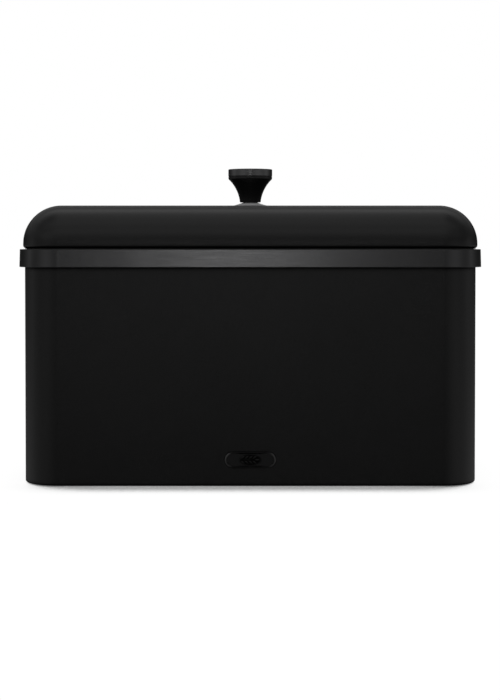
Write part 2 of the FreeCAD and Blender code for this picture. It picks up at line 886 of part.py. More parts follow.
def make_knob_insert(doc, d):
    """The threaded insert in the knob's foot, with a knurled waist."""
    body = new_body(doc, "knob_insert")
    low = d.rose_top + 2 * d.fit_gap
    high = low + d.insert_length
    bore = d.screw_radius + d.fit_gap
    waist = d.insert_waist
    slope = d.insert_waist_slope
    third = d.insert_length / 3
    corners = [
        (bore, low),
        (d.insert_radius, low),
        (d.insert_radius, low + third),
        (waist, low + third + slope),
        (waist, high - third - slope),
        (d.insert_radius, high - third),
        (d.insert_radius, high),
        (bore, high),
    ]
    turned(doc, body, "insert_turning", corners)
    return body


def make_knob_cap(doc, d):
    """The knob's flat cap, with a fine groove under its rim and a spigot pressed into the stem."""
    body = new_body(doc, "knob_cap")
    low = d.knob_lip_top + d.fit_gap
    rim = d.knob_radius
    edge = d.knob_edge
    groove = d.knob_groove
    top = d.knob_top
    corners = [
        (0, low - d.spigot_height),
        (d.spigot_radius, low - d.spigot_height),
        (d.spigot_radius, low),
        (rim - 2 * groove, low),
        (rim - 2 * groove, low + groove),
        (rim, low + 2 * groove),
        (rim, top - edge),
        (rim - edge, top),
        (rim - 2 * edge, top),
        (rim - 2 * edge - d.knob_dish_slope, top - d.knob_dish),
        (0, top - d.knob_dish),
    ]
    turned(doc, body, "cap_turning", corners, {6: ((rim - edge, top - edge), False)})
    return body


def lid_underside(d):
    return lid_top(d) - d.sheet


def make_lid_washer(doc, d):
    body = new_body(doc, "lid_washer")
    high = lid_underside(d) - d.fit_gap
    low = high - d.washer_thickness
    hole = screw_hole(d)
    corners = [(hole, low), (d.washer_radius, low), (d.washer_radius, high), (hole, high)]
    turned(doc, body, "washer_turning", corners)
    return body


def make_knob_screw(doc, d):
    """The screw that holds the knob and the rose, driven up from inside the lid."""
    body = new_body(doc, "knob_screw")
    seat = lid_underside(d) - d.washer_thickness - 2 * d.fit_gap
    low = seat - d.screw_head
    tip = lid_top(d) + d.screw_reach
    head, shank = d.screw_head_radius, d.screw_radius
    dome = d.screw_head / 2
    corners = [
        (0, low),
        (head - dome, low),
        (head, low + dome),
        (head, seat),
        (shank, seat),
        (shank, tip - d.screw_chamfer),
        (shank - d.screw_chamfer, tip),
        (0, tip),
    ]
    turned(doc, body, "screw_turning", corners, {1: ((head - dome, low + dome), False)})
    slot = new_sketch(body, "screw_slot_outline", "XY_Plane", low - OVERSHOOT)
    arm, half = d.screw_slot_reach, d.screw_slot / 2
    cross = [
        (-arm, -half), (-half, -half), (-half, -arm), (half, -arm), (half, -half), (arm, -half),
        (arm, half), (half, half), (half, arm), (-half, arm), (-half, half), (-arm, half),
    ]
    outline(slot, cross)
    doc.recompute()
    add_feature(
        doc, body, "Pocket", "screw_cross", slot, Length=d.screw_slot_depth + OVERSHOOT, Reversed=True
    )
    return body


def band_top(d):
    return d.band_bottom + d.band_height


def pan_underside(d):
    return d.ground_gap + d.hem_radius + d.hem_leg


PARTS = [
    make_body_wall,
    make_base_pan,
    make_trim_band,
    make_band_splice,
    make_band_rivets,
    make_feet,
    make_badge_plate,
    make_badge_clips,
    make_lid_shell,
    make_lid_collar,
    make_rose_gasket,
    make_rose,
    make_knob_stem,
    make_knob_insert,
    make_knob_cap,
    make_lid_washer,
    make_knob_screw,
]


def main():
    doc = FreeCAD.newDocument("bread_bin")
    d = Dimensions(doc)
    bodies = []
    for make in PARTS:
        made = make(doc, d)
        bodies.extend(made if isinstance(made, list) else [made])
    doc.recompute()
    for thing in doc.Objects:
        if {"Invalid", "Error"} & set(thing.State):
            raise ValueError(f"{thing.Name} failed: {thing.State}")
    os.makedirs("parts", exist_ok=True)
    for body in bodies:
        shape = body.Shape
        if shape.isNull() or not shape.isValid():
            raise ValueError(f"{body.Label} has no valid shape")
        shape.exportStep(f"parts/{body.Label}.step")
        print(f"{body.Label}: {len(shape.Solids)} solid(s), {shape.Volume:.1f} mm3")


main()
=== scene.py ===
"""Bread bin: finished meshes, materials, light and camera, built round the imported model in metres."""

import math

import bmesh
import bpy
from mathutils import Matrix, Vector


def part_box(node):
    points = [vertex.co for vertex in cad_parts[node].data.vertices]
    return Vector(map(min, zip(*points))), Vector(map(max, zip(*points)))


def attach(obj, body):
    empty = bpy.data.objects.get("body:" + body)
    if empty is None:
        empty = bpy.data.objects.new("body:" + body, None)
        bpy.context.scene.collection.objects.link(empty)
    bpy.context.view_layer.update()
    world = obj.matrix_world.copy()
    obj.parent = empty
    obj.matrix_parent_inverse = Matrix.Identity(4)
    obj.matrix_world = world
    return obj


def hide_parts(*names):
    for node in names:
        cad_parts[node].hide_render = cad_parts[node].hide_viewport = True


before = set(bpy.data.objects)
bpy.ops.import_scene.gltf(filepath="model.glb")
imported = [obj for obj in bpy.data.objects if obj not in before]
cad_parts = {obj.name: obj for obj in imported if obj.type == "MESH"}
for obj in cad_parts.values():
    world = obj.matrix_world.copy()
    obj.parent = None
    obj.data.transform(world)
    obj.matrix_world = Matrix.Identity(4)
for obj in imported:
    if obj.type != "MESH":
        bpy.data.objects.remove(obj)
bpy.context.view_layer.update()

MM = 0.001

# ---------------------------------------------------------------- sizes in millimetres

BAND_PROUD = 4.3  # how far the band stands out from the wall
CORNER_RADIUS = 29.0  # plan radius of the wall's outer face
SHEET = 0.6  # thickness of the wall, pan and lid
FIT = 0.05  # gap between pieces that touch
HEM_RADIUS = 1.5  # outer radius of the hem at the wall's foot
BEAD_RADIUS = 1.7  # outer radius of the bead at the wall's mouth
LID_PROUD = 1.35  # how far the lid stands out from the wall
SEAT_GAP = 0.3  # how far the lid's collar stands above the band at rest
LID_EDGE_RADIUS = 29.8
CURL_RADIUS = 2.35  # outer radius of the curl at the lid's hem
SCREW_BORE = 2.25  # radius of the screw's hole through the lid, gasket, rose and washer
SEAM_HALF, SEAM_LOW, SEAM_HIGH = 4.0, 14.0, 168.0  # half width, bottom and top of the lap seam at the back
VENT_RADIUS = 2.0
VENT_PITCH = 10.0
VENT_NEAR = 50.0  # from the middle to the first column of air holes
VENT_MIDDLE_Z = 128.0
PAN_MARGIN = 4.0  # from the pan's outer face inwards to its flat bottom
PAN_MIDDLE = (60.0, 20.0, 8.0)  # half width, half depth and corner radius of the pan's middle face
BADGE_PINS = 26.0  # between the badge's two pins
BADGE_FIELD = 0.5  # depth of the badge's field below its rim


def box_mm(node):
    low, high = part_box(node)
    return low / MM, high / MM


BAND_LOW, BAND_HIGH = box_mm("trim_band")
WALL_LOW, WALL_HIGH = box_mm("body_wall")
LID_LOW, LID_HIGH = box_mm("lid_shell")
HALF_X = BAND_HIGH.x - BAND_PROUD  # the wall's outer face
HALF_Y = BAND_HIGH.y - BAND_PROUD

SIDE_STEPS = 10  # quads along each straight side of a plan loop
CORNER_STEPS = 24  # and round each corner
ROUND = 96  # points on a circle
ARC_STEP = 12.0  # degrees from point to point on a small radius
FINE_STEP = 4.0  # the same on the lid's large edge
COARSE_STEP = 31.0  # and on the corners of small blocks
SAME_POINT = 1e-4  # points closer than this are one
SHARP_ANGLE = math.radians(38)

# ---------------------------------------------------------------- outlines and loops


def rounded(corners, closed=False, step=ARC_STEP):
    """Points along straight lines between corners (a, b, radius), with an arc at each corner."""
    points = []
    count = len(corners)
    for i, (a, b, radius) in enumerate(corners):
        here = Vector((a, b))
        is_end = not closed and i in (0, count - 1)
        if radius <= 0 or is_end:
            points.append((a, b))
            continue
        before = (Vector(corners[i - 1][:2]) - here).normalized()
        after = (Vector(corners[(i + 1) % count][:2]) - here).normalized()
        half = before.angle(after) / 2
        centre = here + (before + after).normalized() * (radius / math.sin(half))
        start = here + before * (radius / math.tan(half)) - centre
        end = here + after * (radius / math.tan(half)) - centre
        turn = start.angle_signed(end)
        steps = max(2, math.ceil(abs(math.degrees(turn)) / step))
        first = math.atan2(start.y, start.x)
        for k in range(steps + 1):
            angle = first - turn * k / steps
            points.append((centre.x + radius * math.cos(angle), centre.y + radius * math.sin(angle)))
    return without_repeats(points, closed)


def without_repeats(points, closed):
    kept = []
    for point in points:
        if not kept or math.dist(point, kept[-1]) > SAME_POINT:
            kept.append(point)
    if closed and math.dist(kept[0], kept[-1]) < SAME_POINT:
        kept.pop()
    return kept


def plan_loop(half_x, half_y, radius, z):
    """A rounded rectangle at height z, anticlockwise from the middle of the back."""
    in_x, in_y = half_x - radius, half_y - radius
    sides = [((0, 1), (in_x, 0), (-in_x, 0)), ((-1, 0), (0, in_y), (0, -in_y))]
    sides += [((0, -1), (-in_x, 0), (in_x, 0)), ((1, 0), (0, -in_y), (0, in_y))]
    points = []
    for (nx, ny), start, end in sides:
        side = []
        for k in range(SIDE_STEPS + 1):
            share = k / SIDE_STEPS
            x = start[0] + (end[0] - start[0]) * share + nx * half_x
            y = start[1] + (end[1] - start[1]) * share + ny * half_y
            side.append((x, y, z))
        points += side
        angle = math.atan2(ny, nx)
        centre = (end[0] + (nx * in_x), end[1] + (ny * in_y))
        for k in range(1, CORNER_STEPS):
            a = angle + math.pi / 2 * k / CORNER_STEPS
            points.append((centre[0] + radius * math.cos(a), centre[1] + radius * math.sin(a), z))
    middle = SIDE_STEPS // 2
    return points[middle:] + points[:middle]


def bin_loop(offset, z):
    """A loop that follows the wall's outer face, moved outwards by offset."""
    return plan_loop(HALF_X + offset, HALF_Y + offset, CORNER_RADIUS + offset, z)


def round_loop(radius, z, centre=(0.0, 0.0), count=ROUND):
    turn = 2 * math.pi / count
    x, y = centre
    return [(x + radius * math.cos(turn * k), y + radius * math.sin(turn * k), z) for k in range(count)]


def matched_round_loop(radius, z):
    """A circle with as many points as a plan loop, starting at the back too."""
    count = 4 * (SIDE_STEPS + CORNER_STEPS)
    angles = [math.pi / 2 + 2 * math.pi * k / count for k in range(count)]
    return [(radius * math.cos(a), radius * math.sin(a), z) for a in angles]


def between(loop_a, loop_b, share):
    return [tuple(p + (q - p) * share for p, q in zip(a, b)) for a, b in zip(loop_a, loop_b)]


class Shape:
    """A mesh under construction, in millimetres."""

    def __init__(self):
        self.mesh = bmesh.new()

    def skin(self, loops, around=True, back_to_start=False, cap_start=False, cap_end=False):
        """Quads between loops of equal counts. around closes each loop, back_to_start joins last to first."""
        rows = [[self.mesh.verts.new(point) for point in loop] for loop in loops]
        pairs = list(zip(rows, rows[1:]))
        if back_to_start:
            pairs.append((rows[-1], rows[0]))
        count = len(rows[0])
        for low, high in pairs:
            for k in range(count if around else count - 1):
                n = (k + 1) % count
                self.mesh.faces.new((low[k], low[n], high[n], high[k]))
        if cap_start:
            self.mesh.faces.new(rows[0])
        if cap_end:
            self.mesh.faces.new(rows[-1])
        return rows

    def move(self, function):
        for vertex in self.mesh.verts:
            vertex.co = Vector(function(*vertex.co))

    def object(self, name):
        bmesh.ops.recalc_face_normals(self.mesh, faces=self.mesh.faces)
        for vertex in self.mesh.verts:
            vertex.co *= MM
        data = bpy.data.meshes.new(name)
        self.mesh.to_mesh(data)
        self.mesh.free()
        piece = bpy.data.objects.new(name, data)
        bpy.context.scene.collection.objects.link(piece)
        return piece


def finish_piece(piece, body, material, nodes):
    """Smooth shading with true creases, a material, and what the piece stands for."""
    data = piece.data
    data.polygons.foreach_set("use_smooth", [True] * len(data.polygons))
    data.set_sharp_from_angle(angle=SHARP_ANGLE)
    data.materials.clear()
    data.materials.append(material)
    normals = piece.modifiers.new("face_weighted_normals", "WEIGHTED_NORMAL")
    normals.keep_sharp = True
    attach(piece, body)
    if nodes:
        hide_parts(*nodes)
    return piece


# ---------------------------------------------------------------- materials

NOISE_RANGE = (0.35, 0.65)  # most values of a noise lie between these


class Nodes:
    """A short way to write a material's node tree. Scales and distances are in metres."""

    def __init__(self, name):
        self.material = bpy.data.materials.new(name)
        self.material.use_nodes = True
        self.tree = self.material.node_tree
        self.tree.nodes.clear()
        self.output = self.add("ShaderNodeOutputMaterial")
        self.shader = self.add("ShaderNodeBsdfPrincipled")
        self.link(self.shader.outputs["BSDF"], self.output.inputs["Surface"])
        self.coordinates = self.add("ShaderNodeTexCoord").outputs["Object"]

    def add(self, kind, **settings):
        node = self.tree.nodes.new(kind)
        for key, value in settings.items():
            setattr(node, key, value)
        return node

    def link(self, source, target):
        self.tree.links.new(source, target)

    def stretched(self, scale):
        mapping = self.add("ShaderNodeMapping")
        mapping.inputs["Scale"].default_value = scale
        self.link(self.coordinates, mapping.inputs["Vector"])
        return mapping.outputs["Vector"]

    def noise(self, scale, detail=3.0, roughness=0.5, vector=None):
        node = self.add("ShaderNodeTexNoise")
        node.inputs["Scale"].default_value = scale
        node.inputs["Detail"].default_value = detail
        node.inputs["Roughness"].default_value = roughness
        self.link(vector or self.coordinates, node.inputs["Vector"])
        return node.outputs["Fac"]

    def ramp(self, factor, low, high, start=NOISE_RANGE[0], end=NOISE_RANGE[1]):
        """A value that runs from low to high as factor runs from start to end."""
        node = self.add("ShaderNodeMapRange")
        node.inputs["From Min"].default_value = start
        node.inputs["From Max"].default_value = end
        node.inputs["To Min"].default_value = low
        node.inputs["To Max"].default_value = high
        self.link(factor, node.inputs["Value"])
        return node.outputs["Result"]

    def curve(self, factor, points):
        """A value read off a smooth curve through points."""
        node = self.add("ShaderNodeFloatCurve")
        line = node.mapping.curves[0]
        for x, y in points[1:-1]:
            line.points.new(x, y)
        line.points[0].location = points[0]
        line.points[-1].location = points[-1]
        node.mapping.update()
        self.link(factor, node.inputs["Value"])
        return node.outputs["Value"]

    def math(self, operation, a, b=None):
        """A Math node on sockets or plain numbers."""
        node = self.add("ShaderNodeMath", operation=operation)
        for socket, value in zip(node.inputs, (a, b)):
            if isinstance(value, (int, float)):
                socket.default_value = value
            elif value is not None:
                self.link(value, socket)
        return node.outputs["Value"]

    def length(self, a, b):
        """The length of a plane vector."""
        return self.math("SQRT", self.math("ADD", self.math("MULTIPLY", a, a), self.math("MULTIPLY", b, b)))

    def blend(self, factor, first, second, start=NOISE_RANGE[0], end=NOISE_RANGE[1]):
        node = self.add("ShaderNodeMix", data_type="RGBA")
        node.inputs["A"].default_value = (*first, 1)
        node.inputs["B"].default_value = (*second, 1)
        self.link(self.ramp(factor, 0.0, 1.0, start, end), node.inputs["Factor"])
        return node.outputs["Result"]

    def bump(self, layers):
        """Stacks heights, each (socket, distance in metres), into one normal."""
        normal = None
        for height, distance in layers:
            node = self.add("ShaderNodeBump")
            node.inputs["Distance"].default_value = distance
            self.link(height, node.inputs["Height"])
            if normal:
                self.link(normal, node.inputs["Normal"])
            normal = node.outputs["Normal"]
        self.link(normal, self.shader.inputs["Normal"])

    def set(self, **values):
        for key, value in values.items():
            self.shader.inputs[key.replace("_", " ")].default_value = value


# The powder coat's gloss against the share of open directions: painted shade, the gloss drops in crevices and
# under the band.
PAINTED_SHADE_CURVE = [(0.35, 0.0), (0.55, 0.03), (0.68, 0.14), (0.8, 0.33), (1.0, 0.37)]
PAINTED_SHADE_REACH = 0.006
INSIDE_PAINTED_LIGHT = 5.0  # how many times lighter the coat is painted inside the bin: painted light for the dim inside
RIM_GLOSS = 0.6  # of the badge's round ends


def inside_bin(n):
    """1 on the faces inside the wall and below its mouth, 0 elsewhere."""
    split = n.add("ShaderNodeSeparateXYZ")
    n.link(n.coordinates, split.inputs["Vector"])
    past = []
    for axis, half in (("X", HALF_X), ("Y", HALF_Y)):
        away = n.math("SUBTRACT", n.math("ABSOLUTE", split.outputs[axis]), (half - CORNER_RADIUS) * MM)
        past.append(n.math("MAXIMUM", away, 0.0))
    within = n.math("LESS_THAN", n.length(*past), (CORNER_RADIUS - SHEET / 2) * MM)
    return n.math("MULTIPLY", within, n.math("LESS_THAN", split.outputs["Z"], BAND_HIGH.z * MM))


def powder_coat():
    """Satin black powder coat: orange-peel skin, uneven gloss, painted shade as lower gloss in crevices and
    under the band, and painted light as a lighter tone inside the bin.
    """
    n = Nodes("powder_coat")
    peel = n.noise(900.0, 2.0)
    grain = n.noise(4200.0, 3.0)
    cloud = n.noise(14.0, 3.0)
    tone = n.add("ShaderNodeVectorMath", operation="SCALE")
    n.link(n.blend(cloud, (0.0042, 0.0042, 0.0044), (0.0056, 0.0056, 0.0058)), tone.inputs[0])
    # painted light: the coat's colour is raised inside the bin, where little light reaches
    n.link(n.ramp(inside_bin(n), 1.0, INSIDE_PAINTED_LIGHT, 0.0, 1.0), tone.inputs["Scale"])
    n.link(tone.outputs["Vector"], n.shader.inputs["Base Color"])
    n.link(n.ramp(grain, 0.27, 0.33), n.shader.inputs["Roughness"])
    n.bump([(peel, 0.00006), (grain, 0.00002)])
    # painted shade: the gloss falls where nearby surfaces close in, such as just under the band
    near = n.add("ShaderNodeAmbientOcclusion", samples=8)
    near.inputs["Distance"].default_value = PAINTED_SHADE_REACH
    n.set(Specular_IOR_Level=PAINTED_SHADE_CURVE[-1][1])
    n.link(n.curve(near.outputs["AO"], PAINTED_SHADE_CURVE), n.shader.inputs["Specular IOR Level"])
    return n.material


def plated_metal(name, along, low, high, rough):
    """Satin plating with a fine lay. along is the noise scale on each axis, small along the lay."""
    n = Nodes(name)
    lay = n.noise(1.0, 4.0, 0.6, n.stretched(along))
    cloud = n.noise(30.0, 2.0)
    n.link(n.blend(cloud, low, high), n.shader.inputs["Base Color"])
    n.link(n.ramp(lay, rough - 0.03, rough + 0.04), n.shader.inputs["Roughness"])
    n.bump([(lay, 0.000006)])
    n.set(Metallic=1.0)
    return n.material


def turned_metal(name, low, high, rough, pitch=0.00035, metallic=1.0):
    """Metal turned on a lathe about Z: fine rings that follow the distance from the axis and the height."""
    n = Nodes(name)
    split = n.add("ShaderNodeSeparateXYZ")
    n.link(n.coordinates, split.inputs["Vector"])
    ring = n.add("ShaderNodeCombineXYZ")
    n.link(n.length(split.outputs["X"], split.outputs["Y"]), ring.inputs["X"])
    n.link(split.outputs["Z"], ring.inputs["Y"])
    lay = n.noise(1 / pitch, 2.0, 0.6, ring.outputs["Vector"])
    cloud = n.noise(60.0, 2.0)
    n.link(n.blend(cloud, low, high), n.shader.inputs["Base Color"])
    n.link(n.ramp(lay, rough - 0.05, rough + 0.07), n.shader.inputs["Roughness"])
    n.bump([(lay, 0.00001)])
    n.set(Metallic=metallic)
    return n.material


def moulded(name, low, high, rough, grain_size, depth):
    """Moulded plastic or rubber with a fine grain from the tool."""
    n = Nodes(name)
    grain = n.noise(1 / grain_size, 3.0)
    cloud = n.noise(40.0, 2.0)
    n.link(n.blend(cloud, low, high), n.shader.inputs["Base Color"])
    n.link(n.ramp(grain, rough - 0.06, rough + 0.08), n.shader.inputs["Roughness"])
    n.bump([(grain, depth)])
    return n.material


def badge_lacquer():
    """Satin black lacquer with glossier rims, painted shade in the grooves along its straight sides, and a
    deep black oval behind the relief.
    """
    n = Nodes("badge_lacquer")
    low, high = box_mm("badge_plate")
    half_z = (high.z - low.z) / 2
    split = n.add("ShaderNodeSeparateXYZ")
    n.link(n.coordinates, split.inputs["Vector"])
    across = n.math("ABSOLUTE", split.outputs["X"])
    up = n.math("SUBTRACT", split.outputs["Z"], (high.z + low.z) / 2 * MM)
    past_end = n.math("MAXIMUM", n.math("SUBTRACT", across, (high.x - half_z) * MM), 0.0)
    from_spine = n.length(past_end, up)
    rim = n.ramp(from_spine, 0.0, 1.0, (half_z - 1.15) * MM, (half_z - 1.05) * MM)
    inner = n.ramp(from_spine, 1.0, 0.0, (half_z - 0.55) * MM, (half_z - 0.4) * MM)
    along_side = n.ramp(across, 1.0, 0.0, 8.0 * MM, 11.0 * MM)
    # painted shade: the base colour and gloss drop in the grooves along the straight sides
    painted_groove_shade = n.math("MULTIPLY", n.math("MULTIPLY", rim, inner), along_side)
    middle = n.length(n.math("DIVIDE", across, 8.4 * MM), n.math("DIVIDE", up, 4.2 * MM))
    away = n.ramp(middle, 0.0, 1.0, 0.8, 1.15)
    round_part = n.ramp(past_end, 0.0, 1.0, 0.0, 3.0 * MM)
    shine = n.math("MULTIPLY", away, n.math("SUBTRACT", 1.0, painted_groove_shade))
    lay = n.noise(1.0, 3.0, 0.6, n.stretched((300.0, 300.0, 6000.0)))
    tone = n.blend(shine, (0.0008, 0.0008, 0.0008), (0.0085, 0.0085, 0.0088), 0.0, 1.0)
    n.link(tone, n.shader.inputs["Base Color"])
    n.link(n.math("ADD", n.math("MULTIPLY", lay, 0.08), 0.28), n.shader.inputs["Roughness"])
    edge_shine = n.math("MULTIPLY", n.math("MULTIPLY", rim, round_part), RIM_GLOSS)
    gloss = n.math("ADD", n.math("MULTIPLY", shine, 0.26), edge_shine)
    n.set(Specular_IOR_Level=0.29)
    n.link(n.math("ADD", gloss, 0.03), n.shader.inputs["Specular IOR Level"])
    n.bump([(lay, 0.00001)])
    return n.material


def relief_lacquer():
    """Deep gloss black on the relief."""
    n = Nodes("relief_lacquer")
    cloud = n.noise(900.0, 3.0)
    n.link(n.blend(cloud, (0.0006, 0.0006, 0.0006), (0.0014, 0.0014, 0.0014)), n.shader.inputs["Base Color"])
    n.link(n.ramp(cloud, 0.12, 0.2), n.shader.inputs["Roughness"])
    n.bump([(cloud, 0.00001)])
    n.set(Specular_IOR_Level=0.2)
    return n.material


BADGE_METAL = badge_lacquer()
RELIEF_METAL = relief_lacquer()
PAINT = powder_coat()
BAND_LAY = (60.0, 60.0, 9000.0)
BAND_METAL = plated_metal("band_plating", BAND_LAY, (0.059, 0.059, 0.06), (0.066, 0.066, 0.067), 0.16)
KNOB_METAL = turned_metal("knob_plating", (0.135, 0.135, 0.137), (0.15, 0.15, 0.152), 0.28)
ROSE_METAL = turned_metal("rose_satin", (0.82, 0.82, 0.825), (0.88, 0.88, 0.885), 0.5, metallic=0.22)
ZINC = plated_metal("zinc_plating", (3000.0, 3000.0, 3000.0), (0.5, 0.51, 0.53), (0.62, 0.63, 0.64), 0.3)
BRASS = turned_metal("turned_brass", (0.66, 0.47, 0.2), (0.75, 0.56, 0.27), 0.3)
PLASTIC = moulded("collar_plastic", (0.011, 0.011, 0.011), (0.016, 0.016, 0.016), 0.55, 0.0004, 0.00004)
RUBBER = moulded("black_rubber", (0.014, 0.014, 0.014), (0.021, 0.021, 0.02), 0.75, 0.0005, 0.00006)

# ---------------------------------------------------------------- bin


def wall():
    """One sheet, hemmed inwards at the foot and rolled outwards at the mouth, with air holes in the back."""
    foot, hem_leg, sheared = WALL_LOW.z, 2.0, 0.25
    leg_x, leg_top = -2 * HEM_RADIUS, foot + HEM_RADIUS + hem_leg
    bead_z = WALL_HIGH.z - BEAD_RADIUS
    bead_x = BEAD_RADIUS - SHEET
    outer, inner = BEAD_RADIUS, BEAD_RADIUS - SHEET
    section = [
        (leg_x, leg_top, sheared),
        (leg_x, foot, HEM_RADIUS),
        (0, foot, HEM_RADIUS),
        (0, bead_z + inner, inner),
        (bead_x + inner, bead_z + inner, inner),
        (bead_x + inner, bead_z - inner, inner),
        (bead_x, bead_z - inner, 0.0),
        (bead_x, bead_z - outer, 0.0),
        (bead_x + outer, bead_z - outer, outer),
        (bead_x + outer, bead_z + outer, outer),
        (-SHEET, bead_z + outer, outer),
        (-SHEET, foot + SHEET, HEM_RADIUS - SHEET),
        (leg_x + SHEET, foot + SHEET, HEM_RADIUS - SHEET),
        (leg_x + SHEET, leg_top, sheared),
    ]
    shape = Shape()
    shape.skin([bin_loop(x, z) for x, z in rounded(section, closed=True)], back_to_start=True)
    piece = shape.object("wall")
    cut_vents(piece)
    lap = Shape()
    face = HALF_Y - SHEET
    low, high = (-SEAM_HALF, face - SHEET, SEAM_LOW), (SEAM_HALF, face + SHEET / 2, SEAM_HIGH)
    rounded_block(lap, low, high, sheared)
    join(piece, lap.object("lap_seam"))
    return finish_piece(piece, "bin", PAINT, ["body_wall"])


def join(piece, other):
    """Adds another object's mesh to a piece and removes that object."""
    both = bmesh.new()
    both.from_mesh(piece.data)
    both.from_mesh(other.data)
    both.to_mesh(piece.data)
    both.free()
    bpy.data.objects.remove(other)


def cut_vents(piece):
    """Two groups of air holes, five columns by three rows each."""
    cutter = Shape()
    for side in (-1, 1):
        for column in range(5):
            for row in (-1, 0, 1):
                x = side * (VENT_NEAR + column * VENT_PITCH)
                z = VENT_MIDDLE_Z + row * VENT_PITCH
                rim = round_loop(VENT_RADIUS, 0, count=24)
                near, far = HALF_Y - 3 * SHEET, HALF_Y + 2 * SHEET
                loops = [[(x + a, y, z + b) for a, b, _ in rim] for y in (near, far)]
                cutter.skin(loops, cap_start=True, cap_end=True)
    tool = cutter.object("vent_cutter")
    cut = piece.modifiers.new("vents", "BOOLEAN")
    cut.operation = "DIFFERENCE"
    cut.object = tool
    cut.solver = "EXACT"
    bpy.context.view_layer.update()
    done = bpy.data.meshes.new_from_object(piece.evaluated_get(bpy.context.evaluated_depsgraph_get()))
    piece.modifiers.clear()
    piece.data = done
    bpy.data.objects.remove(tool)


def base_pan():
    """The pressed bottom, with an upturned flange and a raised middle."""
    low, high = box_mm("base_pan")
    face = -SHEET - FIT
    bend = 1.6
    raise_inset, raise_corner, raise_by = 34.0, 22.0, 2.0
    flat = face - PAN_MARGIN
    outer = rounded([(face, high.z, 0), (face, low.z, bend), (flat, low.z, 0)])
    inside, floor_z = face - SHEET, low.z + SHEET
    inner = rounded([(inside, high.z, 0), (inside, floor_z, bend - SHEET), (flat, floor_z, 0)])
    shape = Shape()

    def middle(z):
        loops = []
        for inset, height in ((0.0, 0.0), (0.3, 0.15), (1.7, raise_by - 0.15), (2.0, raise_by)):
            edge = raise_inset + inset
            loops.append(plan_loop(HALF_X - edge, HALF_Y - edge, raise_corner - inset, z + height))
        return loops

    under = [bin_loop(x, z) for x, z in outer] + middle(low.z)
    over = [bin_loop(x, z) for x, z in inner] + middle(floor_z)
    under.append(plan_loop(*PAN_MIDDLE, low.z + raise_by))
    over.append(plan_loop(*PAN_MIDDLE, floor_z + raise_by))
    shape.skin(list(reversed(under)) + over, cap_start=True, cap_end=True)
    return finish_piece(shape.object("pan"), "bin", PAINT, ["base_pan"])


def trim_band():
    """A channel rolled from strip, hooked over the wall's bead, butted at the middle of the back."""
    low, high = BAND_LOW.z, BAND_HIGH.z
    sheet, edge, lean, joint = 0.7, 0.45, 0.4, 0.4
    foot, head = BAND_PROUD, BAND_PROUD - lean
    section = [
        (2 * FIT, low, 0.2),
        (foot, low, edge),
        (head, high, edge),
        (-SHEET, high, 0.3),
        (-SHEET, high - sheet, 0.0),
        (head - sheet, high - sheet, 0.3),
        (foot - sheet, low + sheet, 0.3),
        (2 * FIT, low + sheet, 0.0),
    ]
    outline = rounded(section, closed=True)
    loops = []
    for x, z in outline:
        loop = bin_loop(x, z)
        start = (joint / 2, loop[0][1], z)
        end = (-joint / 2, loop[0][1], z)
        loops.append([end] + loop[1:] + [start])
    stations = [list(row) for row in zip(*loops)]
    shape = Shape()
    shape.skin(stations, cap_start=True, cap_end=True)
    return finish_piece(shape.object("band"), "bin", BAND_METAL, ["trim_band"])


def rounded_block(shape, low, high, radius):
    """A box with softened edges, added to a shape."""
    centre = (Vector(low) + Vector(high)) / 2
    half = (Vector(high) - Vector(low)) / 2
    edge = radius / 2
    side = rounded([(-edge, -half.z, 0), (0, -half.z, edge), (0, half.z, edge), (-edge, half.z, 0)])
    loops = [small_loop(half.x + a, half.y + a, radius, centre, z) for a, z in side]
    shape.skin(loops, cap_start=True, cap_end=True)


def small_loop(half_x, half_y, radius, centre, z):
    corners = [(half_x, half_y, radius), (-half_x, half_y, radius), (-half_x, -half_y, radius)]
    corners.append((half_x, -half_y, radius))
    outline = rounded(corners, closed=True, step=COARSE_STEP)
    return [(centre.x + x, centre.y + y, centre.z + z) for x, y in outline]


def band_splice():
    low, high = box_mm("band_splice")
    shape = Shape()
    rounded_block(shape, low, high, 0.2)
    return finish_piece(shape.object("splice"), "bin", ZINC, ["band_splice"])


def lathe(shape, outline, centre=(0.0, 0.0), count=ROUND):
    """Turns an outline of (radius, z) about a vertical axis. A radius of zero closes the end."""
    rings = [(r, z) for r, z in outline if r > SAME_POINT]
    closed = len(rings) == len(outline)
    loops = [round_loop(r, z, centre, count) for r, z in rings]
    shape.skin(loops, back_to_start=closed, cap_start=not closed, cap_end=not closed)


def band_rivets():
    """Two domed rivets, built upright and then laid to point out of the back."""
    low, high = box_mm("band_rivets")
    length = high.y - low.y
    z_middle = (low.z + high.z) / 2
    head = (high.z - low.z) / 2
    spacing = (high.x - low.x) - 2 * head
    shank, dome = 1.6, 0.9
    outline = rounded(
        [(0, length, 0), (head * 0.55, length, 0.5), (head, length - dome * 0.75, 0.4),
         (head, length - dome, 0.1), (shank, length - dome, 0), (shank, dome, 0),
         (shank * 1.5, dome, 0.1), (shank * 1.5, 0, 0.4), (0, 0, 0)]
    )
    shape = Shape()
    for side in (-1, 1):
        lathe(shape, outline, (side * spacing / 2, 0), 48)
    shape.move(lambda x, y, z: (x, low.y + z, z_middle - y))
    return finish_piece(shape.object("rivets"), "bin", KNOB_METAL, ["band_rivets"])


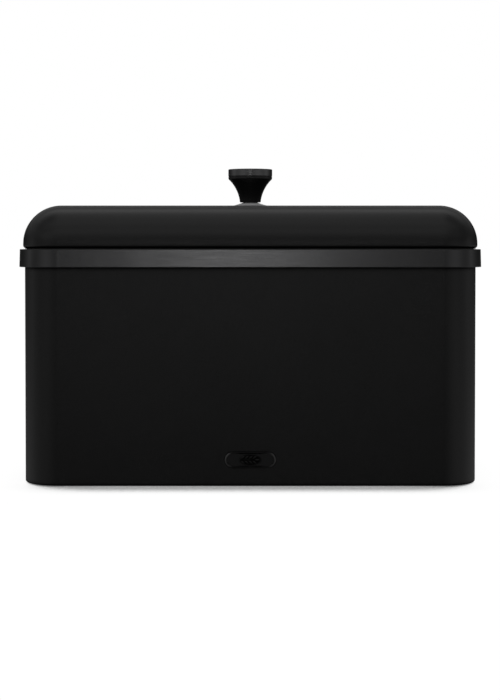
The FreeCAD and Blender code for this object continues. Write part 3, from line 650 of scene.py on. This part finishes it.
def feet():
    """Push-in rubber feet, each with a softened tread and a barbed stem through the pan."""
    for node in ("foot_front_left", "foot_front_right", "foot_back_left", "foot_back_right"):
        low, high = box_mm(node)
        centre = ((low.x + high.x) / 2, (low.y + high.y) / 2)
        radius = (high.x - low.x) / 2
        stem, stem_length = 2.2, 2.3
        top = high.z - stem_length
        outline = rounded(
            [(0, 0.5, 0), (radius - 3.0, 0.5, 0.2), (radius - 2.4, 0, 0.2), (radius - 1, 0, 0.4),
             (radius, 1.2, 0.6), (radius, top, 0.3), (stem, top, 0), (stem, high.z - 1.6, 0.1),
             (stem + 0.8, high.z - 1.6, 0.2), (stem, high.z, 0.4), (0, high.z, 0)]
        )
        shape = Shape()
        lathe(shape, outline, centre, 64)
        finish_piece(shape.object(node.replace("foot", "rubber_foot")), "bin", RUBBER, [node])


# ---------------------------------------------------------------- badge


def on_front(y_back):
    """Maps a plate drawn flat, with its face up, on to the bin's front."""
    low, high = box_mm("badge_plate")
    middle = (low.z + high.z) / 2
    return lambda x, y, z: (x, y_back - z, middle + y)


def pill_loop(half_x, half_y, end, side):
    """A pill outline. end and side give (inset, z) at its round ends and along its straight sides."""
    reach = half_x - half_y
    radius = half_y - 0.001  # just short of a half circle, so that no two points meet
    loop = []
    for x, y, _ in plan_loop(half_x, half_y, radius, 0.0):
        nx, ny = (x - max(-reach, min(reach, x))) / half_y, y / half_y
        if abs(x) <= reach:
            nx, ny = 0.0, math.copysign(1.0, y)
        share = min(1.0, 1.5 * abs(nx))
        inset, z = (s + (e - s) * share for e, s in zip(end, side))
        loop.append((x - nx * inset, y - ny * inset, z))
    return loop


def badge():
    """A pill-shaped plate: bevelled rims at its two ends, deep grooves along its straight sides, two pins."""
    low, high = box_mm("badge_plate")
    half_x, half_y = high.x, (high.z - low.z) / 2
    back = -HALF_Y - FIT
    top = back - low.y
    field = top - BADGE_FIELD
    ends = [(0, 0), (0, top - 0.45), (0.08, top - 0.38), (0.85, top - 0.02), (0.95, top), (1.1, top)]
    ends += [(1.18, top - 0.1), (1.22, field - 0.15), (1.5, field - 0.15), (1.62, field), (2.6, field)]
    sides = [(0, 0), (0, top - 0.1), (0.03, top - 0.03), (0.08, top), (0.16, top), (0.2, top - 0.05)]
    sides += [(0.22, 0.4), (0.25, 0.35), (0.82, 0.35), (0.88, field), (2.6, field)]
    loops = [pill_loop(half_x, half_y, end, side) for end, side in zip(ends, sides)]
    shape = Shape()
    shape.skin(loops, cap_start=True, cap_end=True)
    for side in (-1, 1):
        pin = rounded([(0, -2.6, 0), (1.0, -2.6, 0.3), (1.0, 0.1, 0), (0, 0.1, 0)])
        lathe(shape, pin, (side * BADGE_PINS / 2, 0), 24)
    shape.move(on_front(back))
    return finish_piece(shape.object("badge"), "bin", BADGE_METAL, ["badge_plate"])


def grain(shape, root, angle, length, width, height, floor):
    """A leaf-shaped grain with a raised spine."""
    along, across = 12, 6
    rows = []
    for i in range(along + 1):
        u = i / along
        half = width / 2 * math.sin(math.pi * u) ** 0.8 if 0 < u < 1 else 0.02
        ridge = height * math.sin(math.pi * u) ** 0.5 if 0 < u < 1 else 0.0
        row = []
        for j in range(across + 1):
            v = 2 * j / across - 1
            x, y = u * length, v * half
            px = root[0] + x * math.cos(angle) - y * math.sin(angle)
            py = root[1] + x * math.sin(angle) + y * math.cos(angle)
            row.append((px, py, floor + ridge * (1 - abs(v) ** 1.6)))
        bottom = [(px, py, floor - 0.1) for px, py, _ in reversed(row)]
        rows.append(row + bottom)
    shape.skin(rows, cap_start=True, cap_end=True)


def wheat_ear():
    """Four pairs of grains and a tip grain on a thin stalk, in relief on the badge."""
    back = -HALF_Y - FIT
    low, _ = box_mm("badge_plate")
    floor = back - low.y - BADGE_FIELD
    ear, length, width, height, pitch, lean = 15.0, 4.4, 1.5, 0.42, 3.0, math.radians(35)
    root, tip, tail, stalk_width, stalk_height = 0.625, 1.6, 0.6, 0.5, 0.2
    shape = Shape()
    for pair in range(4):
        x = pitch * pair - ear / 2
        for side in (-1, 1):
            grain(shape, (x, side * root), side * lean, length, width, height, floor)
    grain(shape, (x + tip, 0.0), 0.0, length, width, height, floor)
    grain(shape, (-ear / 2 - tail, 0.0), 0.0, ear - length, stalk_width, stalk_height, floor)
    shape.move(on_front(back))
    return finish_piece(shape.object("wheat_relief"), "bin", RELIEF_METAL, [])


def badge_clips():
    """Push-on washers behind the wall, slightly dished, with a round hole."""
    low, high = box_mm("badge_clips")
    thick = high.y - low.y
    radius = (high.z - low.z) / 2
    middle = (low.z + high.z) / 2
    outline = rounded(
        [(1.05, 0.1, 0.05), (radius, 0, 0.1), (radius, thick - 0.15, 0.1), (1.05, thick, 0.05)], closed=True
    )
    shape = Shape()
    for side in (-1, 1):
        lathe(shape, outline, (side * BADGE_PINS / 2, 0), 48)
    shape.move(lambda x, y, z: (x, low.y + z, middle - y))
    return finish_piece(shape.object("clips"), "bin", ZINC, ["badge_clips"])


# ---------------------------------------------------------------- lid


def lid():
    """One pressed sheet: flat top, large rounded edge, and a curl turned inwards round the hem."""
    low, high = LID_LOW.z, LID_HIGH.z
    leg_x = LID_PROUD - 2 * CURL_RADIUS
    leg_top = low + CURL_RADIUS + 1.0
    end = LID_PROUD - LID_EDGE_RADIUS
    outer = [(end, high, 0), (LID_PROUD, high, LID_EDGE_RADIUS), (LID_PROUD, low, CURL_RADIUS)]
    outer += [(leg_x, low, CURL_RADIUS), (leg_x, leg_top, 0.0)]
    inner = [(leg_x + SHEET, leg_top, 0.0), (leg_x + SHEET, low + SHEET, CURL_RADIUS - SHEET)]
    inner += [(LID_PROUD - SHEET, low + SHEET, CURL_RADIUS - SHEET)]
    inner += [(LID_PROUD - SHEET, high - SHEET, LID_EDGE_RADIUS - SHEET), (end, high - SHEET, 0)]
    section = rounded(outer, step=FINE_STEP) + rounded(inner, step=FINE_STEP)
    rims = [bin_loop(x, z) for x, z in section]

    def panel(rim, z):
        hole = matched_round_loop(SCREW_BORE, z)
        return [between(rim, hole, share) for share in (0.12, 0.3, 0.5, 0.7, 0.85, 0.95, 1.0)]

    loops = list(reversed(panel(rims[0], high))) + rims + panel(rims[-1], high - SHEET)
    shape = Shape()
    shape.skin(loops, back_to_start=True)
    return finish_piece(shape.object("lid"), "lid", PAINT, ["lid_shell"])


def collar():
    """The black plastic ring that clips over the curl and drops inside the bin's mouth."""
    low, high = box_mm("lid_collar")
    wall_t = 1.2
    leg_x = LID_PROUD - 2 * CURL_RADIUS
    skirt = -SHEET - 0.8  # clear of the wall's mouth
    under_curl = LID_LOW.z - FIT
    seat = BAND_HIGH.z + SEAT_GAP
    web = under_curl - wall_t
    outer = 0.0  # in line with the wall's outer face
    upright = leg_x - FIT
    catch, catch_reach = high.z - wall_t, 0.95
    section = [
        (skirt - wall_t, low.z, 0.3),
        (skirt, low.z, 0.5),
        (skirt, seat, 0.15),
        (outer, seat, 0.1),
        (outer, under_curl, 0.1),
        (upright, under_curl, 0.1),
        (upright, catch, 0.0),
        (leg_x + catch_reach, catch, 0.1),
        (upright, high.z, 0.3),
        (upright - wall_t, high.z, 0.3),
        (upright - wall_t, web, 0.4),
        (skirt - wall_t, web, 0.3),
    ]
    shape = Shape()
    shape.skin([bin_loop(x, z) for x, z in rounded(section, closed=True)], back_to_start=True)
    return finish_piece(shape.object("collar"), "lid", PLASTIC, ["lid_collar"])


# ---------------------------------------------------------------- knob


def arc(start, end, centre_x=None, centre_z=None, steps=24):
    """Points on the arc from start to end, given one coordinate of its centre."""
    (x1, z1), (x2, z2) = start, end
    square = (x2 * x2 + z2 * z2 - x1 * x1 - z1 * z1) / 2
    if centre_x is None:
        centre_x = (square - centre_z * (z2 - z1)) / (x2 - x1)
    else:
        centre_z = (square - centre_x * (x2 - x1)) / (z2 - z1)
    centre = Vector((centre_x, centre_z))
    a, b = Vector(start) - centre, Vector(end) - centre
    turn = a.angle_signed(b)
    first = math.atan2(a.y, a.x)
    radius = a.length
    angles = [first - turn * k / steps for k in range(steps + 1)]
    return [(centre.x + radius * math.cos(t), centre.y + radius * math.sin(t)) for t in angles]


def turned_piece(name, outline, material, nodes, count=ROUND):
    shape = Shape()
    lathe(shape, outline, count=count)
    return finish_piece(shape.object(name), "lid", material, nodes)


def rose():
    """The satin metal rose between the lid and the knob."""
    low, high = box_mm("rose")
    edge, crown, chamfer = 0.6, 5.5, 0.15
    sweep = arc((high.x, low.z + edge), (crown, high.z), centre_z=300.0)
    foot = [(SCREW_BORE, low.z), (high.x - chamfer, low.z), (high.x, low.z + chamfer)]
    outline = foot + sweep + [(SCREW_BORE, high.z)]
    return turned_piece("knob_rose", outline, ROSE_METAL, ["rose"])


def gasket():
    low, high = box_mm("rose_gasket")
    outline = rounded(
        [(SCREW_BORE, low.z, 0), (high.x, low.z, 0.1), (high.x, high.z, 0.1), (SCREW_BORE, high.z, 0)],
        closed=True,
    )
    return turned_piece("gasket", outline, RUBBER, ["rose_gasket"])


def knob_stem():
    """The waisted foot that flares up to the knob's lip."""
    low, high = box_mm("knob_stem")
    lip, foot, bore, socket = high.x, 8.6, 3.65, 6.05  # radii
    lip_height, socket_depth, bore_depth, soft, edge = 2.2, 2.45, 12.0, 0.12, 0.15
    lip_bottom = high.z - lip_height
    flare = arc((foot, low.z + soft), (lip - soft, lip_bottom), centre_x=39.4, steps=36)
    outline = [(bore, low.z), (foot - soft, low.z)] + flare
    outline += [(lip, lip_bottom + edge), (lip, high.z - edge), (lip - edge, high.z)]
    outline += [(socket, high.z), (socket, high.z - socket_depth)]
    bore_top = (bore, low.z + bore_depth)
    shape = Shape()
    shape.skin([round_loop(r, z) for r, z in [bore_top] + outline], cap_start=True, cap_end=True)
    return finish_piece(shape.object("stem"), "lid", PAINT, ["knob_stem"])


def knob_cap():
    """The flat cap with a bevelled rim and a shallow dish on top."""
    low, high = box_mm("knob_cap")
    rim = high.x
    seat = low.z + 2.4
    outline = rounded(
        [(0, low.z, 0), (6.0, low.z, 0.3), (6.0, seat, 0), (rim - 0.3, seat, 0.05),
         (rim - 0.3, seat + 0.15, 0.05), (rim, seat + 0.3, 0.08), (rim, high.z, 0.45),
         (rim - 0.9, high.z, 0.3), (rim - 1.9, high.z - 0.5, 0.8), (0, high.z - 0.5, 0)]
    )
    return turned_piece("cap", outline, KNOB_METAL, ["knob_cap"], count=128)


def washer():
    low, high = box_mm("lid_washer")
    outline = rounded(
        [(SCREW_BORE, low.z, 0.15), (high.x, low.z, 0.2), (high.x, high.z, 0.2), (SCREW_BORE, high.z, 0.15)],
        closed=True,
    )
    return turned_piece("washer", outline, ZINC, ["lid_washer"])


def keep_node(node, material):
    """A CAD node that keeps its own mesh and gets a finished material."""
    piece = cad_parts[node]
    piece.data.materials.clear()
    piece.data.materials.append(material)


# ---------------------------------------------------------------- build

wall()
base_pan()
trim_band()
band_splice()
band_rivets()
feet()
badge()
wheat_ear()
badge_clips()
lid()
collar()
gasket()
rose()
knob_stem()
knob_cap()
washer()
keep_node("knob_insert", BRASS)
keep_node("knob_screw", ZINC)

# ---------------------------------------------------------------- floor, light and camera

FLOOR_SIZE = 30.0  # metres from the middle to each side
SHADOW_REACH = 0.045  # how far from the object its contact shadow ends
SHADOW_TILT = 0.25  # upward part of the directions in which the floor looks for the object
# Floor brightness against the share of open directions.
SHADOW_CURVE = [(0.3, 0.0), (0.45, 0.3), (0.5, 0.52), (0.54, 0.74), (0.6, 0.9), (0.7, 0.97), (0.85, 1.0)]


def floor():
    """A pale floor that darkens where the object stands close in front of or behind a point of it."""
    data = bpy.data.meshes.new("floor")
    size = FLOOR_SIZE
    corners = [(-size, -size, 0), (size, -size, 0), (size, size, 0), (-size, size, 0)]
    data.from_pydata(corners, [], [(0, 1, 2, 3)])
    piece = bpy.data.objects.new("floor", data)
    bpy.context.scene.collection.objects.link(piece)
    n = Nodes("pale_floor")
    shades = []
    for forward in (-1.0, 1.0):
        look = n.add("ShaderNodeCombineXYZ")
        look.inputs["Y"].default_value = forward
        look.inputs["Z"].default_value = SHADOW_TILT
        openness = n.add("ShaderNodeAmbientOcclusion", samples=16)
        openness.inputs["Distance"].default_value = SHADOW_REACH
        n.link(look.outputs["Vector"], openness.inputs["Normal"])
        shades.append(n.curve(openness.outputs["AO"], SHADOW_CURVE))
    glow = n.add("ShaderNodeEmission")
    n.link(n.math("MINIMUM", *shades), glow.inputs["Strength"])
    n.link(glow.outputs["Emission"], n.output.inputs["Surface"])
    n.tree.nodes.remove(n.shader)
    data.materials.append(n.material)
    piece.visible_glossy = False
    piece.visible_diffuse = False


# The studio's light, as soft patches of sky. Angles in degrees: azimuth from the front towards the right,
# elevation, half width and half height. The last number is the brightness at the middle.
LIGHTS = [
    (-1.0, 3.0, 2.9, 1.6, 4.7),  # small lamp above the camera
    (-2.0, 4.0, 9.0, 4.0, 0.1),  # its glow
    (-2.0, 13.0, 34.0, 6.0, 0.1),  # long strip above that
    (0.0, 37.0, 34.0, 15.0, 0.65),  # high in front
    (0.0, 65.0, 40.0, 12.0, 0.6),
    (0.0, 90.0, 16.0, 16.0, 0.72),  # overhead
    (180.0, 63.0, 40.0, 11.0, 1.05),  # high behind the object
    (180.0, 29.0, 50.0, 10.0, 0.36),
    (180.0, -13.0, 18.0, 8.0, 0.4),  # back wall
    (-90.0, 50.0, 42.0, 18.0, 0.22),  # high on the left
    (90.0, 50.0, 42.0, 18.0, 0.18),  # high on the right
    (-45.0, 20.0, 24.0, 9.0, 0.42),  # front left, from high to low
    (-38.0, 1.0, 30.0, 6.0, 0.43),
    (-50.0, -14.0, 26.0, 7.0, 0.22),
    (38.0, 1.0, 30.0, 6.0, 0.43),  # front right
    (52.0, -14.0, 26.0, 7.0, 0.24),
    (54.0, -6.0, 22.0, 5.0, 0.16),
    (56.0, 21.0, 20.0, 9.0, 0.22),
    (-92.0, 24.0, 28.0, 9.0, 0.18),  # left wall
    (-92.0, 2.0, 22.0, 6.0, 0.2),
    (-124.0, -9.0, 26.0, 7.0, 0.08),
    (-98.0, -18.0, 32.0, 10.0, 0.5),
    (92.0, 2.0, 22.0, 6.0, 0.2),  # right wall
    (124.0, -9.0, 26.0, 7.0, 0.09),
    (98.0, -18.0, 32.0, 10.0, 0.54),
]
FLOOR_GLOW = 0.2  # light that comes up from the floor
FLOOR_SLOPE = (-0.6, -0.28)  # upward slope over which it fades out towards the horizon


def direction(azimuth, elevation):
    """A unit vector, from an azimuth off the front towards the right and an elevation, in degrees."""
    a, e = math.radians(azimuth), math.radians(elevation)
    return Vector((math.sin(a) * math.cos(e), -math.cos(a) * math.cos(e), math.sin(e)))


class Sky:
    """White to the camera; soft patches of light from chosen directions to everything else."""

    def __init__(self):
        world = bpy.data.worlds.new("studio")
        world.use_nodes = True
        bpy.context.scene.world = world
        self.tree = world.node_tree
        self.tree.nodes.clear()
        self.ray = self.add("ShaderNodeTexCoord").outputs["Generated"]
        output = self.add("ShaderNodeOutputWorld")
        rays = self.add("ShaderNodeLightPath")
        seen = self.add("ShaderNodeBackground")
        seen.inputs["Color"].default_value = (1, 1, 1, 1)
        light = self.add("ShaderNodeBackground")
        light.inputs["Color"].default_value = (1, 1, 1, 1)
        mix = self.add("ShaderNodeMixShader")
        self.link(self.brightness(), light.inputs["Strength"])
        self.link(rays.outputs["Is Camera Ray"], mix.inputs["Fac"])
        self.link(light.outputs["Background"], mix.inputs[1])
        self.link(seen.outputs["Background"], mix.inputs[2])
        self.link(mix.outputs["Shader"], output.inputs["Surface"])

    def add(self, kind):
        return self.tree.nodes.new(kind)

    def link(self, source, target):
        self.tree.links.new(source, target)

    def sum(self, operation, a, b=None):
        """A Math node on sockets or plain numbers."""
        node = self.add("ShaderNodeMath")
        node.operation = operation
        for socket, value in zip(node.inputs, (a, b)):
            if isinstance(value, (int, float)):
                socket.default_value = value
            elif value is not None:
                self.link(value, socket)
        return node.outputs["Value"]

    def along(self, axis):
        """The cosine between the direction looked in and an axis."""
        node = self.add("ShaderNodeVectorMath")
        node.operation = "DOT_PRODUCT"
        self.link(self.ray, node.inputs[0])
        node.inputs[1].default_value = axis
        return node.outputs["Value"]

    def patch(self, azimuth, elevation, width, height, strength):
        """A bell curve across and up, on one side of the sky only."""
        axis = direction(azimuth, elevation)
        side = direction(azimuth + 90.0, 0.0)
        up = side.cross(axis)
        across = self.sum("DIVIDE", self.along(side), math.sin(math.radians(width)))
        upward = self.sum("DIVIDE", self.along(up), math.sin(math.radians(height)))
        squares = self.sum("ADD", self.sum("MULTIPLY", across, across), self.sum("MULTIPLY", upward, upward))
        bell = self.sum("EXPONENT", self.sum("MULTIPLY", squares, -1.0))
        facing = self.sum("GREATER_THAN", self.along(axis), 0.0)
        return self.sum("MULTIPLY", self.sum("MULTIPLY", bell, facing), strength)

    def from_floor(self):
        """Light from below, which fades out towards the horizon."""
        fade = self.add("ShaderNodeMapRange")
        fade.interpolation_type = "SMOOTHSTEP"
        fade.inputs["From Min"].default_value, fade.inputs["From Max"].default_value = FLOOR_SLOPE
        fade.inputs["To Min"].default_value, fade.inputs["To Max"].default_value = FLOOR_GLOW, 0.0
        self.link(self.along((0, 0, 1)), fade.inputs["Value"])
        return fade.outputs["Result"]

    def brightness(self):
        total = self.from_floor()
        for light in LIGHTS:
            total = self.sum("ADD", total, self.patch(*light))
        return total


CAMERA_PLACE = (0.0, -1.2467, 0.187)  # metres, a little higher than the band
CAMERA_PITCH = math.radians(1.4)  # downwards
LENS, SENSOR = 77.1, 36.0  # millimetres
SHIFT = (-0.0004, -0.1015)  # moves the object to its place in the frame


def camera():
    """In front of the object, almost level."""
    data = bpy.data.cameras.new("camera")
    data.lens = LENS
    data.sensor_width = SENSOR
    data.shift_x, data.shift_y = SHIFT
    piece = bpy.data.objects.new("camera", data)
    piece.location = CAMERA_PLACE
    piece.rotation_euler = (math.pi / 2 - CAMERA_PITCH, 0.0, 0.0)
    bpy.context.scene.collection.objects.link(piece)
    bpy.context.scene.camera = piece


floor()
Sky()
camera()
bpy.context.scene.view_settings.view_transform = "Standard"
